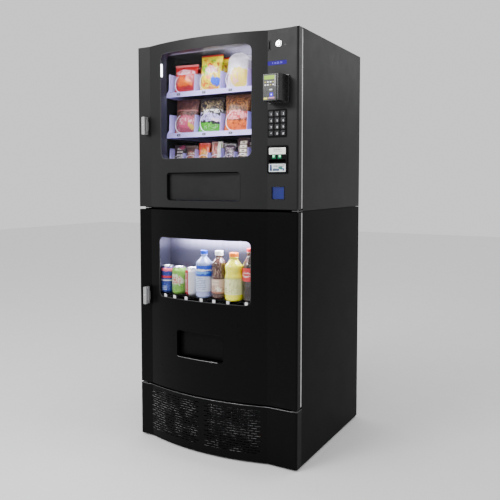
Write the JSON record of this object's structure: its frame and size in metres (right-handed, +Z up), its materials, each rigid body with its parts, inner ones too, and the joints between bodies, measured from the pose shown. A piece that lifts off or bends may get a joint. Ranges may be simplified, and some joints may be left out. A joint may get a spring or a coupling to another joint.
{
  "type": "snack vending machine",
  "caption": "Floor-standing combined snack and cold drink vending machine: windowed snack door with side controls over a bowed drink door, vented base",
  "frame": {"origin": "centre of the overall footprint, at the floor under the feet", "axes": "+Z up; -Y is the front with the windows, flaps and controls; +X is the side with the door hinges and the controls"},
  "size_m": [0.8, 0.768, 1.778],
  "materials": {
    "black_door": "satin black powder coat",
    "black_case": "satin black powder coat",
    "foam_liner": "smooth pale liner over foam",
    "door_inner": "matt black",
    "door_inner_pale": "smooth pale grey",
    "zinc": "zinc plated",
    "bracket": "dark plated steel",
    "compressor_black": "gloss black",
    "fins": "thin fins",
    "fan_plastic": "dark moulded plastic",
    "tray_white": "semi-gloss off-white",
    "motor_plastic": "pale moulded plastic",
    "wire_white": "white-coated steel wire",
    "lamp": "diffusing light tube",
    "window": "clear glazing",
    "panel_plastic": "dark moulded plastic",
    "reader_plastic": "dark moulded plastic",
    "validator_plastic": "black moulded plastic",
    "mech_plastic": "dark grey moulded plastic",
    "chrome": "bright chrome",
    "blue_plastic": "blue moulded plastic",
    "lock_metal": "satin chrome",
    "key_metal": "satin metal",
    "column_sheet": "plain sheet",
    "display_sheet": "smooth pale grey",
    "flap_plastic": "black moulded plastic"
  },
  "bodies": {
    "cabinet": {"lower_cabinet": "black_case", "cold_liner": "foam_liner", "base_grille": "black_door", "leveling_feet": "zinc", "compressor": "compressor_black", "heat_exchangers": "fins", "drink_columns": "column_sheet", "upper_cabinet": "black_case", "snack_trays": "tray_white", "coil_motors": "motor_plastic", "light_tubes": "lamp", "hinge_pins": "bracket"},
    "condenser_fan": {"condenser_fan": "fan_plastic"},
    "snack_door": {"upper_door_skin": "black_door", "upper_door_liner": "door_inner", "upper_window": "window", "control_panel": "panel_plastic", "card_reader": "reader_plastic", "bill_validator": "validator_plastic", "coin_mech": "mech_plastic", "upper_lock": "black_door"},
    "drink_door": {"lower_door_skin": "black_door", "lower_door_liner": "door_inner_pale", "lower_window": "window", "display_shelf": "display_sheet", "lower_lock": "black_door"},
    "snack_door_handle": {"upper_handle": "lock_metal"},
    "drink_door_handle": {"lower_handle": "lock_metal"},
    "snack_flap": {"snack_flap": "flap_plastic"},
    "drink_flap": {"drink_flap": "flap_plastic"},
    "coin_flap": {"coin_flap": "blue_plastic"},
    "coin_button": {"coin_button": "chrome"},
    "coil_top_1": {"coil_top_1": "wire_white"},
    "coil_top_2": {"coil_top_2": "wire_white"},
    "coil_top_3": {"coil_top_3": "wire_white"},
    "coil_top_4": {"coil_top_4": "wire_white"},
    "coil_middle_1": {"coil_middle_1": "wire_white"},
    "coil_middle_2": {"coil_middle_2": "wire_white"},
    "coil_middle_3": {"coil_middle_3": "wire_white"},
    "coil_middle_4": {"coil_middle_4": "wire_white"},
    "coil_candy_1": {"coil_candy_1": "wire_white"},
    "coil_candy_2": {"coil_candy_2": "wire_white"},
    "coil_candy_3": {"coil_candy_3": "wire_white"},
    "coil_candy_4": {"coil_candy_4": "wire_white"},
    "coil_candy_5": {"coil_candy_5": "wire_white"},
    "coil_candy_6": {"coil_candy_6": "wire_white"},
    "coil_candy_7": {"coil_candy_7": "wire_white"},
    "coil_candy_8": {"coil_candy_8": "wire_white"},
    "key_1": {"key_1": "key_metal"},
    "key_2": {"key_2": "key_metal"},
    "key_3": {"key_3": "key_metal"},
    "key_4": {"key_4": "key_metal"},
    "key_5": {"key_5": "key_metal"},
    "key_6": {"key_6": "key_metal"},
    "key_7": {"key_7": "key_metal"},
    "key_8": {"key_8": "key_metal"},
    "key_9": {"key_9": "key_metal"},
    "key_star": {"key_star": "key_metal"},
    "key_0": {"key_0": "key_metal"},
    "key_hash": {"key_hash": "key_metal"}
  },
  "joints": [
    {"name": "snack_door_hinge", "type": "hinge", "parent": "cabinet", "child": "snack_door", "pos_m": [0.395, -0.304, 1.4185], "axis": [0, 0, 1], "range_deg": [0, 110]},
    {"name": "drink_door_hinge", "type": "hinge", "parent": "cabinet", "child": "drink_door", "pos_m": [0.395, -0.304, 0.6528], "axis": [0, 0, 1], "range_deg": [0, 110]},
    {"name": "snack_door_handle_turn", "type": "hinge", "parent": "snack_door", "child": "snack_door_handle", "pos_m": [-0.345, -0.316, 1.424], "axis": [0, 1, 0], "range_deg": [0, 90]},
    {"name": "drink_door_handle_turn", "type": "hinge", "parent": "drink_door", "child": "drink_door_handle", "pos_m": [-0.345, -0.316, 0.661], "axis": [0, 1, 0], "range_deg": [0, 90]},
    {"name": "snack_flap_hinge", "type": "hinge", "parent": "snack_door", "child": "snack_flap", "pos_m": [-0.0345, -0.324, 1.209], "axis": [1, 0, 0], "range_deg": [0, 70], "stiffness_Nm_per_rad": 0.15, "springref_deg": -28.65},
    {"name": "drink_flap_hinge", "type": "hinge", "parent": "drink_door", "child": "drink_flap", "pos_m": [-0.045, -0.324, 0.522], "axis": [1, 0, 0], "range_deg": [0, 70], "stiffness_Nm_per_rad": 0.1, "springref_deg": -28.65},
    {"name": "coin_flap_hinge", "type": "hinge", "parent": "snack_door", "child": "coin_flap", "pos_m": [0.312, -0.31, 1.1505], "axis": [1, 0, 0], "range_deg": [0, 70], "stiffness_Nm_per_rad": 0.004, "springref_deg": -28.65},
    {"name": "coin_button_push", "type": "slide", "parent": "snack_door", "child": "coin_button", "axis": [0, 1, 0], "range_m": [0, 0.0008], "stiffness_N_per_m": 400, "springref_m": -0.002},
    {"name": "key_1_push", "type": "slide", "parent": "snack_door", "child": "key_1", "axis": [0, 1, 0], "range_m": [0, 0.0015], "stiffness_N_per_m": 400, "springref_m": -0.001},
    {"name": "key_2_push", "type": "slide", "parent": "snack_door", "child": "key_2", "axis": [0, 1, 0], "range_m": [0, 0.0015], "stiffness_N_per_m": 400, "springref_m": -0.001},
    {"name": "key_3_push", "type": "slide", "parent": "snack_door", "child": "key_3", "axis": [0, 1, 0], "range_m": [0, 0.0015], "stiffness_N_per_m": 400, "springref_m": -0.001},
    {"name": "key_4_push", "type": "slide", "parent": "snack_door", "child": "key_4", "axis": [0, 1, 0], "range_m": [0, 0.0015], "stiffness_N_per_m": 400, "springref_m": -0.001},
    {"name": "key_5_push", "type": "slide", "parent": "snack_door", "child": "key_5", "axis": [0, 1, 0], "range_m": [0, 0.0015], "stiffness_N_per_m": 400, "springref_m": -0.001},
    {"name": "key_6_push", "type": "slide", "parent": "snack_door", "child": "key_6", "axis": [0, 1, 0], "range_m": [0, 0.0015], "stiffness_N_per_m": 400, "springref_m": -0.001},
    {"name": "key_7_push", "type": "slide", "parent": "snack_door", "child": "key_7", "axis": [0, 1, 0], "range_m": [0, 0.0015], "stiffness_N_per_m": 400, "springref_m": -0.001},
    {"name": "key_8_push", "type": "slide", "parent": "snack_door", "child": "key_8", "axis": [0, 1, 0], "range_m": [0, 0.0015], "stiffness_N_per_m": 400, "springref_m": -0.001},
    {"name": "key_9_push", "type": "slide", "parent": "snack_door", "child": "key_9", "axis": [0, 1, 0], "range_m": [0, 0.0015], "stiffness_N_per_m": 400, "springref_m": -0.001},
    {"name": "key_star_push", "type": "slide", "parent": "snack_door", "child": "key_star", "axis": [0, 1, 0], "range_m": [0, 0.0015], "stiffness_N_per_m": 400, "springref_m": -0.001},
    {"name": "key_0_push", "type": "slide", "parent": "snack_door", "child": "key_0", "axis": [0, 1, 0], "range_m": [0, 0.0015], "stiffness_N_per_m": 400, "springref_m": -0.001},
    {"name": "key_hash_push", "type": "slide", "parent": "snack_door", "child": "key_hash", "axis": [0, 1, 0], "range_m": [0, 0.0015], "stiffness_N_per_m": 400, "springref_m": -0.001},
    {"name": "coil_top_1_turn", "type": "hinge", "parent": "cabinet", "child": "coil_top_1", "pos_m": [-0.272, 0.084, 1.6349], "axis": [0, 1, 0], "continuous": true},
    {"name": "coil_top_2_turn", "type": "hinge", "parent": "cabinet", "child": "coil_top_2", "pos_m": [-0.132, 0.084, 1.6349], "axis": [0, 1, 0], "continuous": true},
    {"name": "coil_top_3_turn", "type": "hinge", "parent": "cabinet", "child": "coil_top_3", "pos_m": [0.008, 0.084, 1.6349], "axis": [0, 1, 0], "continuous": true},
    {"name": "coil_top_4_turn", "type": "hinge", "parent": "cabinet", "child": "coil_top_4", "pos_m": [0.148, 0.084, 1.6349], "axis": [0, 1, 0], "continuous": true},
    {"name": "coil_middle_1_turn", "type": "hinge", "parent": "cabinet", "child": "coil_middle_1", "pos_m": [-0.272, 0.084, 1.4479], "axis": [0, 1, 0], "continuous": true},
    {"name": "coil_middle_2_turn", "type": "hinge", "parent": "cabinet", "child": "coil_middle_2", "pos_m": [-0.132, 0.084, 1.4479], "axis": [0, 1, 0], "continuous": true},
    {"name": "coil_middle_3_turn", "type": "hinge", "parent": "cabinet", "child": "coil_middle_3", "pos_m": [0.008, 0.084, 1.4479], "axis": [0, 1, 0], "continuous": true},
    {"name": "coil_middle_4_turn", "type": "hinge", "parent": "cabinet", "child": "coil_middle_4", "pos_m": [0.148, 0.084, 1.4479], "axis": [0, 1, 0], "continuous": true},
    {"name": "coil_candy_1_turn", "type": "hinge", "parent": "cabinet", "child": "coil_candy_1", "pos_m": [-0.307, 0.084, 1.2714], "axis": [0, 1, 0], "continuous": true},
    {"name": "coil_candy_2_turn", "type": "hinge", "parent": "cabinet", "child": "coil_candy_2", "pos_m": [-0.237, 0.084, 1.2714], "axis": [0, 1, 0], "continuous": true},
    {"name": "coil_candy_3_turn", "type": "hinge", "parent": "cabinet", "child": "coil_candy_3", "pos_m": [-0.167, 0.084, 1.2714], "axis": [0, 1, 0], "continuous": true},
    {"name": "coil_candy_4_turn", "type": "hinge", "parent": "cabinet", "child": "coil_candy_4", "pos_m": [-0.097, 0.084, 1.2714], "axis": [0, 1, 0], "continuous": true},
    {"name": "coil_candy_5_turn", "type": "hinge", "parent": "cabinet", "child": "coil_candy_5", "pos_m": [-0.027, 0.084, 1.2714], "axis": [0, 1, 0], "continuous": true},
    {"name": "coil_candy_6_turn", "type": "hinge", "parent": "cabinet", "child": "coil_candy_6", "pos_m": [0.043, 0.084, 1.2714], "axis": [0, 1, 0], "continuous": true},
    {"name": "coil_candy_7_turn", "type": "hinge", "parent": "cabinet", "child": "coil_candy_7", "pos_m": [0.113, 0.084, 1.2714], "axis": [0, 1, 0], "continuous": true},
    {"name": "coil_candy_8_turn", "type": "hinge", "parent": "cabinet", "child": "coil_candy_8", "pos_m": [0.183, 0.084, 1.2714], "axis": [0, 1, 0], "continuous": true},
    {"name": "condenser_fan_spin", "type": "hinge", "parent": "cabinet", "child": "condenser_fan", "pos_m": [0.09, -0.086, 0.125], "axis": [0, 1, 0], "continuous": true}
  ]
}
